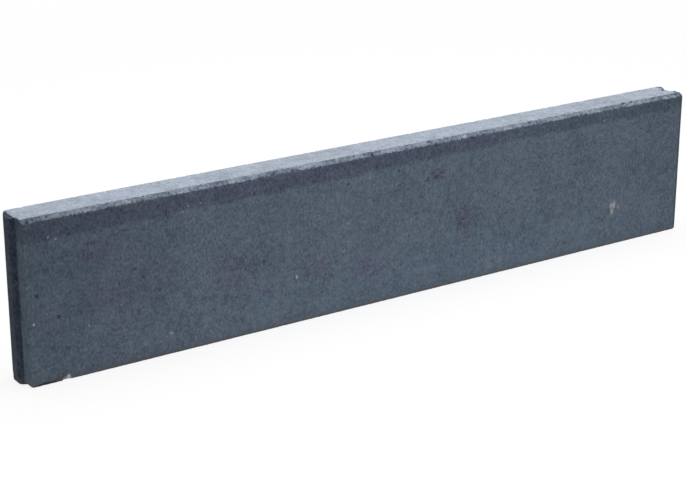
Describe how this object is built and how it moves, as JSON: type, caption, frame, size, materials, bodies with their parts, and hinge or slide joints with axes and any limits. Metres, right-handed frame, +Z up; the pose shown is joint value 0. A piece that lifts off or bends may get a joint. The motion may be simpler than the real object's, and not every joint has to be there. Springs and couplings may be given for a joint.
{
  "type": "concrete kerb stone",
  "caption": "Straight dark concrete edging kerb that stands on its narrow bed, with bevelled top edges and an upright tongue-and-groove joint at its ends.",
  "frame": {"origin": "middle of the bed face, halfway along the stone with its tongue", "axes": "+Z up, +X along the stone from the tongue end to the groove end, +Y through the thickness from the front face to the back face"},
  "size_m": [1.007, 0.05, 0.2],
  "materials": {
    "concrete": "matte pressed concrete, through-coloured blue-grey anthracite"
  },
  "bodies": {
    "root": {"kerb_stone": "concrete"}
  },
  "joints": []
}
